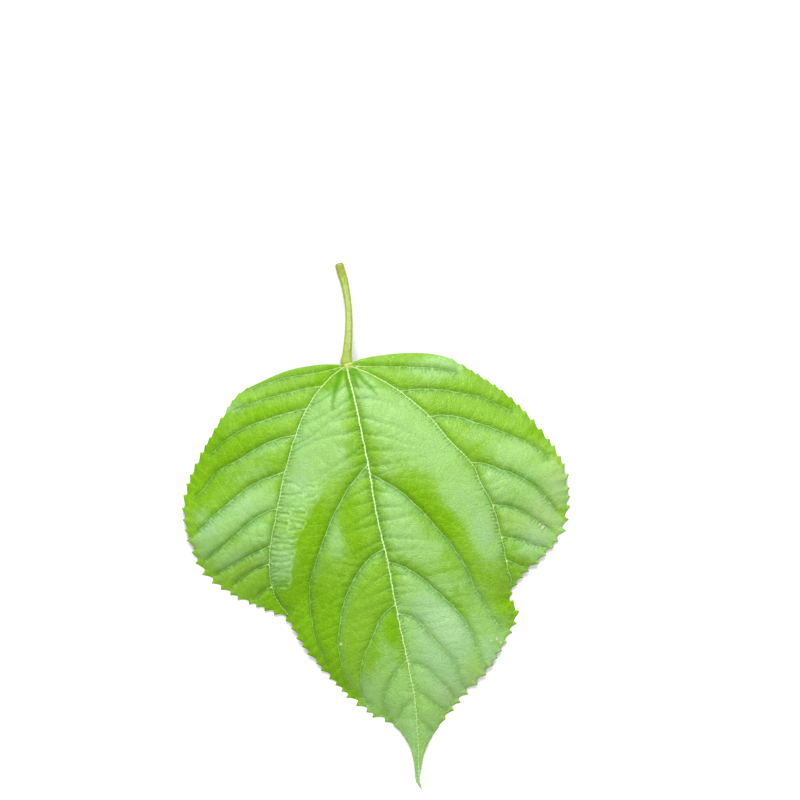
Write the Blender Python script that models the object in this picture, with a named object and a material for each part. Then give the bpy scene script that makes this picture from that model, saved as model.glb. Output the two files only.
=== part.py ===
"""A picked mulberry leaf lying face up: a broad toothed blade, quilted between its veins and arched
so that its margins and drip tip touch the surface, and the grooved stalk it was picked by.

Metres, +Z up. The blade's tip points to -Y and the stalk to +Y. The origin is at the middle of the
bounding box's floor. The outline and the veins were traced by eye as pixels of the photograph, and
BLADE_LENGTH gives them their real size.
"""

import math
import random

import bmesh
import bpy
import numpy as np
from mathutils import Matrix, Vector
from mathutils.geometry import delaunay_2d_cdt

# Driving dimensions, in metres
BLADE_LENGTH = 0.165
BLADE_THICKNESS = 0.0008
ARCH_HEIGHT = 0.0150
STALK_RADIUS = 0.0014
STALK_GAP = 0.0004

# The trace, in pixels of the photograph: x to the right, y down
JOINT_PX = (347, 364)
TIP_PX = (422, 791)
LEFT_MARGIN_PX = [
    (343, 365), (320, 365), (290, 370), (262, 381), (238, 394), (224, 414), (205, 446), (190, 476),
    (183, 506), (188, 538), (203, 573), (231, 595), (262, 609), (286, 620), (305, 649), (338, 687),
    (368, 713), (394, 727), (409, 745), (414, 763), (416, 781), TIP_PX,
]
RIGHT_MARGIN_PX = [
    (351, 363), (372, 357), (412, 353), (446, 357), (476, 373), (513, 399), (547, 437), (565, 468),
    (569, 502), (563, 533), (543, 557), (522, 577), (511, 596), (518, 614), (507, 640), (488, 670),
    (463, 698), (436, 732), (425, 751), (421, 770), (420, 781), TIP_PX,
]
MIDRIB_PX = [
    (347, 366), (357, 407), (369, 465), (378, 518), (388, 560), (396, 604), (407, 657), (415, 700),
    (418, 742), (419, 768), (420, 784),
]
LEFT_PRIMARY_PX = [
    (345, 367), (332, 377), (315, 397), (302, 421), (292, 450), (284, 480), (278, 512), (271, 548),
    (271, 580), (277, 601),
]
RIGHT_PRIMARY_PX = [
    (349, 366), (370, 374), (398, 390), (428, 415), (450, 441), (470, 461), (481, 484), (491, 502),
    (498, 525), (503, 545), (507, 564),
]
LEFT_BASAL_PX = [(344, 367), (315, 374), (290, 378), (262, 388)]
RIGHT_BASAL_PX = [(351, 366), (375, 367), (410, 367), (448, 370)]

# Side veins, each from its parent vein out to near the margin
LEFT_PRIMARY_SIDES_PX = [
    [(323, 387), (300, 390), (262, 400), (238, 408)],
    [(309, 407), (275, 417), (240, 431), (214, 448)],
    [(297, 433), (270, 442), (225, 467), (196, 494)],
    [(286, 472), (262, 480), (222, 509), (196, 532)],
    [(279, 507), (250, 522), (228, 542), (205, 560)],
    [(271, 545), (245, 558), (219, 572)],
    [(270, 565), (250, 574), (234, 584)],
    [(272, 588), (262, 593), (255, 599)],
]
RIGHT_PRIMARY_SIDES_PX = [
    [(398, 390), (440, 390), (480, 397), (511, 409)],
    [(428, 415), (480, 424), (527, 442), (549, 454)],
    [(470, 461), (500, 469), (540, 491), (559, 512)],
    [(491, 502), (515, 508), (538, 521), (553, 534)],
    [(502, 537), (520, 539), (541, 547)],
    [(506, 560), (517, 564), (527, 568)],
]
MIDRIB_LEFT_SIDES_PX = [
    [(369, 465), (347, 490), (326, 534), (311, 580), (313, 628), (325, 661)],
    [(382, 543), (360, 568), (346, 596), (338, 640), (348, 688)],
    [(396, 602), (380, 617), (364, 655), (361, 682), (371, 708)],
    [(408, 659), (391, 679), (383, 701), (393, 720)],
    [(415, 700), (406, 707), (400, 720)],
]
MIDRIB_RIGHT_SIDES_PX = [
    [(371, 473), (393, 485), (427, 515), (456, 551), (475, 588), (500, 628)],
    [(388, 560), (412, 569), (445, 597), (473, 634), (483, 664)],
    [(398, 611), (420, 620), (450, 655), (463, 688)],
    [(408, 660), (430, 670), (450, 690), (456, 702)],
    [(415, 692), (433, 702), (446, 711)],
    [(418, 718), (427, 726), (432, 732)],
]

# Teeth: how far apart and how deep they are, and the share of each side's length where they are
TOOTH_PITCH = 0.0040
TOOTH_DEPTH = 0.0016
SMALL_TOOTH_DEPTH = 0.0006
TEETH_BEGIN, TEETH_FULL = 0.16, 0.50
TEETH_FADE, TEETH_END = 0.84, 0.90
TOOTH_TIP_AT, TOOTH_SHOULDER_AT = 0.86, 0.45
TOOTH_OUT, TOOTH_SHOULDER_OUT = 0.5, 0.2
TOOTH_PITCH_SPREAD = (0.72, 1.28)
TOOTH_DEPTH_SPREAD = (0.8, 1.2)
TEETH_SEED = 5

# How much each vein stands out below the blade, as a share of RIB_DEPTH
MIDRIB_STRENGTH, PRIMARY_STRENGTH, SIDE_STRENGTH = 1.0, 0.8, 0.5

# Relief of the blade: its long arch, its waved margin, the quilting between its veins, and its ribs
PEAK_AT = 0.20
TOUCHDOWN_AT = 0.96
JOINT_DROP = 0.20
LOW_EDGE = 0.0007
JOINT_REACH = 0.022
EDGE_WAVE = 0.0013
EDGE_WAVE_LENGTH = 0.041
EDGE_WAVE_SLANT = 0.3
PILLOW_HEIGHT = 0.0023
PILLOW_REACH = 0.0042
PILLOW_BLEND = 0.0016
PILLOW_FADE = (-0.004, 0.007)
PILLOW_FALL = 0.55
PILLOW_FALL_SPAN = (0.40, 0.80)
RIB_DEPTH = 0.0011
RIB_HALF_WIDTH = 0.0013
RIB_TAPER = 0.6
BASE_DEPTH = 0.0016
BASE_REACH = 0.0032

# Spacing of the blade's points
CURVE_SAMPLES = 24
TRACE_STEP = 0.00043333
EDGE_STEP = 0.0026
VEIN_STEP = 0.0026
FIELD_STEP = 0.0034
FIELD_CLEARANCE = 0.0027
EDGE_CLEARANCE = 0.0017
RIB_CLEARANCE = 0.0011

# The stalk from the blade: across, along, above its resting height (metres), and its swelling
STALK_ROUTE = [
    (0.0, 0.0, 0.0092, 1.25), (0.0016, 0.006, 0.0082, 1.2), (0.0030, 0.012, 0.0061, 1.06),
    (0.0040, 0.018, 0.0041, 0.95), (0.0045, 0.024, 0.0022, 0.98), (0.0044, 0.030, 0.0006, 1.1),
    (0.0040, 0.034, 0.0, 1.25), (0.0035, 0.038, 0.0, 1.25),
]
STALK_STEP = 0.002
STALK_SIDES = 16
STALK_GROOVE = 0.22
STALK_GROOVE_HALF_ANGLE = 0.7

BLADE_COLOUR, BLADE_ROUGHNESS = (0.26, 0.52, 0.05), 0.45
STALK_COLOUR, STALK_ROUGHNESS = (0.38, 0.50, 0.06), 0.5
TINY = 1e-6


def to_leaf(pixels):
    """Photograph pixels as metres in the leaf's plane: joint at 0, 0 and tip at 0, -BLADE_LENGTH."""
    away = np.array(pixels, float) - JOINT_PX
    away[:, 1] *= -1
    axis = np.array(TIP_PX, float) - JOINT_PX
    scale = BLADE_LENGTH / np.hypot(*axis)
    turn = math.atan2(axis[0], axis[1])
    cos, sin = math.cos(turn), math.sin(turn)
    return np.column_stack(
        [away[:, 0] * cos + away[:, 1] * sin, away[:, 1] * cos - away[:, 0] * sin]
    ) * scale


def along(points, step):
    """Points about `step` apart on a Catmull-Rom curve through the given ones."""
    ends = [2 * points[0] - points[1], *points, 2 * points[-1] - points[-2]]
    share = np.linspace(0, 1, CURVE_SAMPLES, endpoint=False)[:, None]
    curve = [
        0.5 * (2 * b + (c - a) * share + (2 * a - 5 * b + 4 * c - d) * share**2
               + (3 * b - 3 * c + d - a) * share**3)
        for a, b, c, d in zip(ends, ends[1:], ends[2:], ends[3:])
    ]
    curve = np.vstack([*curve, points[-1:]])
    lengths = np.linalg.norm(np.diff(curve[:, :3], axis=0), axis=1)
    run = np.concatenate([[0], np.cumsum(lengths)])
    count = max(2, round(run[-1] / step) + 1)
    at = np.linspace(0, run[-1], count)
    return np.column_stack([np.interp(at, run, curve[:, k]) for k in range(curve.shape[1])])


def ramp(value, low, high):
    """0 below low, 1 above high, with a smooth rise between them."""
    share = np.clip((value - low) / (high - low), 0, 1)
    return share * share * (3 - 2 * share)


def toothed(line, outward):
    """One side of the margin with its teeth, which point to the tip. `line` starts at the joint."""
    run = np.concatenate([[0], np.cumsum(np.hypot(*np.diff(line, axis=0).T))])
    length = run[-1]
    ahead = np.gradient(line, axis=0)
    ahead /= np.hypot(*ahead.T)[:, None]

    def place(at, out):
        point = np.array([np.interp(at, run, line[:, k]) for k in range(2)])
        way = np.array([np.interp(at, run, ahead[:, k]) for k in range(2)])
        return point + out * outward * np.array([way[1], -way[0]])

    points = [place(at, 0) for at in np.arange(0, TEETH_BEGIN * length, EDGE_STEP)]
    at, draw = TEETH_BEGIN * length, random.Random(TEETH_SEED + outward)
    while at < TEETH_END * length:
        share = at / length
        unevenness = draw.uniform(*TOOTH_PITCH_SPREAD)
        pitch = TOOTH_PITCH * unevenness
        growth = ramp(share, TEETH_BEGIN, TEETH_FULL)
        depth = SMALL_TOOTH_DEPTH + (TOOTH_DEPTH - SMALL_TOOTH_DEPTH) * growth
        depth *= (1 - ramp(share, TEETH_FADE, TEETH_END)) * unevenness * draw.uniform(*TOOTH_DEPTH_SPREAD)
        points.append(place(at, -TOOTH_OUT * depth))
        points.append(place(at + TOOTH_SHOULDER_AT * pitch, TOOTH_SHOULDER_OUT * depth))
        points.append(place(at + TOOTH_TIP_AT * pitch, TOOTH_OUT * depth))
        at += pitch
    points += [place(at, 0) for at in np.arange(at, length - EDGE_STEP / 2, EDGE_STEP)]
    return np.array([*points, line[-1]])


def nearest(points, line):
    """Each point's distance to a line of straight pieces."""
    start, way = line[:-1], np.diff(line, axis=0)
    from_start = points[:, None] - start
    share = np.clip((from_start * way).sum(2) / (way**2).sum(1), 0, 1)
    return np.hypot(*(from_start - share[..., None] * way).transpose(2, 0, 1)).min(1)


def joined_to(parent, side):
    """A side vein whose first point is the nearest point of its parent vein."""
    side = side.copy()
    side[0] = parent[np.hypot(*(parent - side[0]).T).argmin()]
    return side


def make_veins():
    """(line, strength) of every vein, the midrib first. Strength is 1 for the midrib and less for others."""
    midrib = along(to_leaf(MIDRIB_PX), VEIN_STEP)
    left = along(to_leaf(LEFT_PRIMARY_PX), VEIN_STEP)
    right = along(to_leaf(RIGHT_PRIMARY_PX), VEIN_STEP)
    found = [(midrib, MIDRIB_STRENGTH), (left, PRIMARY_STRENGTH), (right, PRIMARY_STRENGTH)]
    found += [(along(to_leaf(px), VEIN_STEP), SIDE_STRENGTH) for px in (LEFT_BASAL_PX, RIGHT_BASAL_PX)]
    families = (
        (midrib, MIDRIB_LEFT_SIDES_PX + MIDRIB_RIGHT_SIDES_PX),
        (left, LEFT_PRIMARY_SIDES_PX),
        (right, RIGHT_PRIMARY_SIDES_PX),
    )
    for parent, sides in families:
        for px in sides:
            found.append((along(joined_to(parent, to_leaf(px)), VEIN_STEP), SIDE_STRENGTH))
    return found


class Relief:
    """The blade's height above the surface it lies on, as a formula of the place in its plane."""

    def __init__(self, margin, veins):
        self.margin = margin
        self.veins = veins

    def middle(self, points):
        """Height of the blade's middle surface."""
        along_leaf = -points[:, 1] / BLADE_LENGTH
        fall = np.clip((along_leaf - PEAK_AT) / (TOUCHDOWN_AT - PEAK_AT), 0, 1)
        rise = np.clip((PEAK_AT - along_leaf) / PEAK_AT, 0, 1.2)
        spine = ARCH_HEIGHT * (1 - fall**2 - JOINT_DROP * rise**2)
        at_joint = ARCH_HEIGHT * (1 - JOINT_DROP)
        from_joint = np.hypot(*points.T)
        low = LOW_EDGE + (at_joint - LOW_EDGE) * np.exp(-((from_joint / JOINT_REACH) ** 2))
        to_edge = nearest(points, self.margin)
        to_midrib = nearest(points, self.veins[0][0])
        inward = to_edge / (to_edge + to_midrib + TINY)
        height = low + (spine - low) * (1 - (1 - inward) ** 2)
        phase = 2 * math.pi * (points[:, 1] + EDGE_WAVE_SLANT * points[:, 0]) / EDGE_WAVE_LENGTH
        height += EDGE_WAVE * np.sin(phase) * (1 - inward) ** 2 * ramp(from_joint, 0, JOINT_REACH)
        quilting = PILLOW_HEIGHT * (1 - PILLOW_FALL * ramp(along_leaf, *PILLOW_FALL_SPAN))
        return height + quilting * self.pillow(points) * ramp(to_edge, *PILLOW_FADE)

    def pillow(self, points):
        """0 on a vein, rising to 1 in the middle of the tissue between veins."""
        away = np.array([nearest(points, line) for line, _ in self.veins])
        blended = -PILLOW_BLEND * np.log(np.exp(-away / PILLOW_BLEND).sum(0))
        return 1 - np.exp(-np.clip(blended, 0, None) / PILLOW_REACH)

    def rib(self, points):
        """How far the veins, and the thick base where they meet, stand out below the blade."""
        depth = BASE_DEPTH * np.exp(-(points**2).sum(1) / BASE_REACH**2)
        taper = 1 - RIB_TAPER * np.clip(-points[:, 1] / BLADE_LENGTH, 0, 1)
        for line, strength in self.veins:
            share = np.clip(1 - nearest(points, line) / RIB_HALF_WIDTH, 0, 1)
            depth = np.maximum(depth, RIB_DEPTH * strength * share * taper)
        return depth


def inside(points, loop):
    """Which points lie inside a closed loop."""
    start, end = loop, np.roll(loop, -1, axis=0)
    crosses = (start[:, 1] > points[:, 1:]) != (end[:, 1] > points[:, 1:])
    rise = end[:, 1] - start[:, 1]
    level = start[:, 0] + (points[:, 1:] - start[:, 1]) * (end - start)[:, 0] / np.where(rise, rise, 1)
    return (crosses & (points[:, :1] < level)).sum(1) % 2 == 1


def rib_sides(veins, margin):
    """Points along both sides of each vein, where its rib begins, clear of other veins and the margin."""
    found = []
    closed = np.vstack([margin, margin[:1]])
    for number, (line, _) in enumerate(veins):
        ahead = np.gradient(line, axis=0)
        ahead /= np.hypot(*ahead.T)[:, None]
        aside = RIB_HALF_WIDTH * np.column_stack([ahead[:, 1], -ahead[:, 0]])
        beside = np.vstack([line + aside, line - aside])
        clear = inside(beside, margin) & (nearest(beside, closed) > RIB_CLEARANCE)
        for other, (crossed, _) in enumerate(veins):
            if other != number:
                clear &= nearest(beside, crossed) > RIB_CLEARANCE
        if found:
            placed = np.vstack(found)
            apart = np.hypot(*(beside[:, None] - placed).transpose(2, 0, 1)).min(1)
            clear &= apart > RIB_CLEARANCE
        found.append(beside[clear])
    return np.vstack(found)


def field_points(margin, veins):
    """A triangular grid of points inside the margin, clear of it and of the veins."""
    low, high = margin.min(0), margin.max(0)
    row_height = FIELD_STEP * math.sqrt(3) / 2
    rows = np.arange(low[1], high[1], row_height)
    grid = np.array([
        (x + (number % 2) * FIELD_STEP / 2, y)
        for number, y in enumerate(rows)
        for x in np.arange(low[0], high[0], FIELD_STEP)
    ])
    closed = np.vstack([margin, margin[:1]])
    clear = inside(grid, margin) & (nearest(grid, closed) > EDGE_CLEARANCE)
    for line, _ in veins:
        clear &= nearest(grid, line) > FIELD_CLEARANCE
    return grid[clear]


def make_blade(collection):
    """The blade: one triangulated sheet, with the veins as edges, given a top and an underside."""
    left = toothed(along(to_leaf(LEFT_MARGIN_PX), TRACE_STEP), -1)
    right = toothed(along(to_leaf(RIGHT_MARGIN_PX), TRACE_STEP), 1)
    margin = np.vstack([left, right[-2::-1]])[::-1]
    veins = make_veins()
    points, edges = list(margin), []
    for line, _ in veins:
        edges += [(len(points) + k, len(points) + k + 1) for k in range(len(line) - 1)]
        points += list(line)
    points += [*rib_sides(veins, margin), *field_points(margin, veins)]
    outline = list(range(len(margin)))
    flat, _, faces, *_ = delaunay_2d_cdt(
        [Vector(p) for p in points], edges, [outline], 1, TINY
    )

    mesh = bpy.data.meshes.new("leaf_blade")
    mesh.from_pydata([(*p, 0) for p in flat], [], faces)
    sheet = bmesh.new()
    sheet.from_mesh(mesh)
    made = bmesh.ops.extrude_face_region(sheet, geom=sheet.faces[:])
    raised = [v for v in made["geom"] if isinstance(v, bmesh.types.BMVert)]
    upper = set(raised)
    lower = [v for v in sheet.verts if v not in upper]
    relief = Relief(np.vstack([margin, margin[:1]]), veins)
    for verts, top in ((raised, True), (lower, False)):
        place = np.array([v.co.xy for v in verts])
        height = relief.middle(place)
        if top:
            height = np.maximum(height + BLADE_THICKNESS / 2, BLADE_THICKNESS)
        else:
            height = np.maximum(height - BLADE_THICKNESS / 2 - relief.rib(place), 0)
        for v, z in zip(verts, height):
            v.co.z = z
    bmesh.ops.recalc_face_normals(sheet, faces=sheet.faces[:])
    sheet.to_mesh(mesh)
    sheet.free()
    blade = bpy.data.objects.new("leaf_blade", mesh)
    collection.objects.link(blade)
    return blade


def make_stalk(collection):
    """The stalk: a grooved section swept along its route, thickest where it was picked off the shoot."""
    corner = 2 * math.pi / STALK_SIDES
    rest_height = STALK_RADIUS * STALK_ROUTE[-1][3] * math.cos(corner / 2)
    route = along(np.array(STALK_ROUTE), STALK_STEP)
    swellings = np.minimum(route[:, 3], STALK_ROUTE[-1][3])
    route = np.maximum(route[:, :3], (-1, 0, 0)) + (0, STALK_GAP, rest_height)
    ahead = np.gradient(route, axis=0)
    ahead[0] = (0, 1, 0)
    ahead[-2:, 2] = 0
    solid = bmesh.new()
    rings = []
    for place, way, swelling in zip(route, ahead, swellings):
        forward = Vector(way).normalized()
        across = forward.cross(Vector((0, 0, 1))).normalized()
        up = across.cross(forward)
        ring = []
        for number in range(STALK_SIDES):
            angle = (number + 0.5) * corner
            from_top = abs(angle - math.pi / 2) / STALK_GROOVE_HALF_ANGLE
            radius = STALK_RADIUS * swelling * (1 - STALK_GROOVE * max(0, 1 - from_top))
            offset = across * math.cos(angle) + up * math.sin(angle)
            ring.append(solid.verts.new(Vector(place) + offset * radius))
        rings.append(ring)
    for near, far in zip(rings, rings[1:]):
        for k in range(STALK_SIDES):
            solid.faces.new((near[k - 1], near[k], far[k], far[k - 1]))
    solid.faces.new(rings[0])
    solid.faces.new(rings[-1])
    bmesh.ops.recalc_face_normals(solid, faces=solid.faces[:])
    mesh = bpy.data.meshes.new("petiole")
    solid.to_mesh(mesh)
    solid.free()
    stalk = bpy.data.objects.new("petiole", mesh)
    collection.objects.link(stalk)
    return stalk


def paint(obj, colour, roughness):
    material = bpy.data.materials.new(obj.name)
    material.use_nodes = True
    shader = material.node_tree.nodes["Principled BSDF"]
    shader.inputs["Base Color"].default_value = (*colour, 1)
    shader.inputs["Roughness"].default_value = roughness
    shader.inputs["Metallic"].default_value = 0
    obj.data.materials.append(material)


def put_origin_under(parts):
    """Moves the parts so that the origin is the middle of the floor of their bounding box."""
    corners = [v.co for part in parts for v in part.data.vertices]
    low = [min(c[k] for c in corners) for k in range(3)]
    high = [max(c[k] for c in corners) for k in range(3)]
    shift = Vector((-(low[0] + high[0]) / 2, -(low[1] + high[1]) / 2, -low[2]))
    for part in parts:
        part.data.transform(Matrix.Translation(shift))


def main():
    for obj in list(bpy.data.objects):
        bpy.data.objects.remove(obj)
    leaf = bpy.data.collections.new("mulberry_leaf")
    bpy.context.scene.collection.children.link(leaf)
    blade = make_blade(leaf)
    stalk = make_stalk(leaf)
    paint(blade, BLADE_COLOUR, BLADE_ROUGHNESS)
    paint(stalk, STALK_COLOUR, STALK_ROUGHNESS)
    put_origin_under([blade, stalk])


main()
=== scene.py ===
"""Looks of the picked mulberry leaf: its thin quilted blade with the whole net of veins, and its stalk.

The blade and the stalk are modelled in the leaf's own plane (stalk's end of the midrib at 0, 0 and
drip tip at -Y) and then moved to where the frame holds them. Metres throughout.
"""

import math
import random

import bmesh
import bpy
import numpy as np
from mathutils import Matrix, Vector
from mathutils.geometry import delaunay_2d_cdt
from mathutils.kdtree import KDTree

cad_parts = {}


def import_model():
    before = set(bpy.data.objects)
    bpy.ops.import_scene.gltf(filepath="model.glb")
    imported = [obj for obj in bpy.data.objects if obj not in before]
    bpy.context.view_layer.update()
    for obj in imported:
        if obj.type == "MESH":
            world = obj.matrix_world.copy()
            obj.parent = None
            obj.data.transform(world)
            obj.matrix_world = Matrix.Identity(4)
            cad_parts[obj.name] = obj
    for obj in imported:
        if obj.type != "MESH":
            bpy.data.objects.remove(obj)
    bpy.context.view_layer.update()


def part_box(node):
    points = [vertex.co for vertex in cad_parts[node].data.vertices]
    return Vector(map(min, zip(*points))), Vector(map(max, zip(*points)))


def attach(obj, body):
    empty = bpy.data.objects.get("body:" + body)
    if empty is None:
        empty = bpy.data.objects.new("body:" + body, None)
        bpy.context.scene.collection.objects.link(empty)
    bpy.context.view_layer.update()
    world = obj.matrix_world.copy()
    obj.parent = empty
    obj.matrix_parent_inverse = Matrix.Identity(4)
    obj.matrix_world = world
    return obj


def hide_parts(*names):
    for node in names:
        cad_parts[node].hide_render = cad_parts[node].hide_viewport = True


MM = 0.001
BLADE_LENGTH = 0.165
THICKNESS = 0.00036
ARCH_HEIGHT = 0.0150

# The photograph's trace, in its pixels. TURN is how far the leaf is turned in it.
PHOTO_SIZE = 800
JOINT_PX = (347, 364)
TIP_PX = (422, 791)
PIXEL = BLADE_LENGTH / math.dist(JOINT_PX, TIP_PX)
TURN = math.atan2(TIP_PX[0] - JOINT_PX[0], TIP_PX[1] - JOINT_PX[1])
LEFT_MARGIN_PX = [
    (343, 365), (320, 365), (290, 370), (262, 381), (238, 394), (224, 414), (205, 446), (190, 476),
    (183, 506), (188, 538), (203, 573), (231, 595), (262, 609), (286, 620), (305, 649), (338, 687),
    (368, 713), (394, 727), (409, 745), (414, 763), (416, 781), TIP_PX,
]
RIGHT_MARGIN_PX = [
    (351, 363), (372, 357), (412, 353), (446, 357), (476, 373), (513, 399), (547, 437), (565, 468),
    (569, 502), (563, 533), (543, 557), (522, 577), (511, 596), (518, 614), (507, 640), (488, 670),
    (463, 698), (436, 732), (425, 751), (421, 770), (420, 781), TIP_PX,
]
MIDRIB_PX = [
    (347, 366), (357, 407), (369, 465), (378, 518), (388, 560), (396, 604), (407, 657), (415, 700),
    (418, 742), (419, 768), (420, 784),
]
LEFT_PRIMARY_PX = [
    (345, 367), (332, 377), (315, 397), (302, 421), (292, 450), (284, 480), (278, 512), (271, 548),
    (271, 580), (277, 601), (287, 615),
]
RIGHT_PRIMARY_PX = [
    (349, 366), (370, 374), (398, 390), (428, 415), (450, 441), (470, 461), (481, 484), (491, 502),
    (498, 525), (503, 545), (507, 566), (512, 582),
]
LEFT_BASAL_PX = [(344, 367), (315, 374), (290, 377), (265, 384), (248, 390)]
RIGHT_BASAL_PX = [(351, 366), (375, 367), (410, 367), (440, 369), (456, 373)]
LEFT_PRIMARY_SIDES_PX = [
    [(323, 387), (300, 390), (280, 395), (262, 400), (245, 406), (233, 411)],
    [(309, 407), (295, 411), (275, 417), (255, 424), (240, 431), (225, 441), (212, 453)],
    [(297, 433), (285, 437), (270, 442), (255, 450), (240, 459), (225, 467), (215, 474), (205, 487),
     (196, 497)],
    [(286, 472), (275, 475), (262, 480), (250, 486), (235, 498), (222, 509), (212, 518), (199, 531)],
    [(279, 507), (265, 512), (250, 522), (240, 531), (228, 542), (215, 552), (205, 561)],
    [(271, 545), (260, 550), (245, 558), (232, 565), (217, 574)],
    [(270, 565), (258, 568), (248, 573), (235, 585)],
    [(272, 588), (262, 592), (255, 599)],
]
RIGHT_PRIMARY_SIDES_PX = [
    [(398, 390), (420, 389), (440, 390), (460, 393), (480, 397), (495, 403), (512, 411)],
    [(428, 414), (445, 415), (462, 418), (480, 424), (495, 429), (515, 437), (532, 444), (548, 456)],
    [(470, 461), (485, 463), (500, 469), (515, 474), (530, 483), (540, 491), (548, 500), (557, 511)],
    [(491, 502), (505, 505), (515, 508), (528, 514), (538, 521), (552, 531)],
    [(502, 537), (515, 538), (525, 541), (535, 546), (546, 548)],
    [(505, 561), (515, 563), (522, 566), (530, 568)],
]
MIDRIB_LEFT_SIDES_PX = [
    [(369, 465), (357, 477), (347, 490), (340, 503), (332, 519), (326, 534), (321, 548), (316, 563),
     (311, 580), (310, 595), (311, 612), (313, 628), (316, 640), (322, 655), (327, 664)],
    [(382, 545), (372, 554), (360, 568), (352, 582), (346, 596), (342, 611), (340, 625), (338, 640),
     (340, 655), (343, 672), (349, 690)],
    [(396, 602), (388, 608), (380, 617), (375, 630), (369, 644), (364, 655), (361, 667), (361, 682),
     (363, 697), (372, 709)],
    [(408, 659), (398, 668), (391, 679), (385, 692), (383, 701), (386, 711), (393, 721)],
    [(414, 700), (405, 705), (400, 716)],
]
MIDRIB_RIGHT_SIDES_PX = [
    [(371, 473), (383, 479), (393, 485), (403, 492), (415, 503), (427, 515), (437, 527), (448, 539),
     (456, 551), (464, 563), (470, 575), (475, 588), (481, 597), (487, 607), (495, 620), (503, 631)],
    [(388, 560), (400, 563), (412, 569), (423, 577), (433, 586), (445, 597), (456, 608), (466, 622),
     (473, 634), (478, 648), (482, 659), (485, 668)],
    [(399, 611), (410, 614), (420, 620), (430, 632), (440, 644), (450, 655), (457, 668), (460, 680),
     (465, 691)],
    [(408, 660), (420, 663), (430, 670), (440, 681), (450, 690), (456, 702)],
    [(414, 691), (423, 694), (433, 702), (440, 708), (447, 711)],
    [(417, 718), (425, 724), (432, 732)],
]
# Short folds that run out from the stalk between the main veins
PLEATS_PX = [
    [(342, 368), (338, 383), (334, 400), (333, 413)],
    [(347, 370), (349, 382), (352, 396), (355, 408)],
    [(351, 369), (355, 380), (360, 391)],
    [(354, 369), (363, 380), (371, 387), (379, 397)],
]
# Narrow puffed bars that run in from the left primary vein to the fold at their other ends
BARS_PX = [
    [(286, 480), (293, 481), (300, 484)], [(303, 487), (309, 484), (316, 485)],
    [(283, 493), (294, 493), (303, 491)], [(307, 496), (316, 494)],
    [(281, 504), (293, 505), (305, 504)], [(279, 511), (290, 512)], [(296, 510), (306, 511)],
    [(277, 520), (288, 522)], [(293, 519), (305, 521)], [(291, 528), (302, 527)],
    [(276, 535), (285, 537), (296, 536)], [(274, 542), (284, 541), (295, 543)],
    [(273, 548), (282, 549), (294, 547)], [(273, 554), (284, 555), (294, 552)],
    [(273, 560), (283, 560), (291, 558)], [(272, 566), (283, 567), (291, 565)],
    [(273, 571), (282, 570), (290, 571)], [(273, 576), (282, 575), (290, 577)],
    [(274, 581), (282, 581), (289, 580)], [(275, 586), (288, 585)],
]
# Folds at which the bloom stops without a vein, with how softly: beside the bars, below the right primary
# vein and in the right basal lobe
FOLDS_PX = {
    "F1": (0.0010, [
        (325, 470), (322, 492), (310, 519), (300, 536), (296, 548), (293, 566), (291, 586), (287, 602),
    ]),
    "F2": (0.0036, [(391, 458), (411, 474), (438, 502), (458, 522), (470, 542), (483, 560), (495, 581)]),
    "F3": (0.0014, [(458, 352), (463, 366), (468, 378), (472, 390)]),
}

# Soft patches: the veins and folds that they don't spread over, then each one's place and reach in pixels
# of the photograph, across and down, and its strength. M is the midrib, L and R are the left and right
# primary veins, ML and MR the midrib's side veins, and LL and RR those of the primaries, from the joint.

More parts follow.
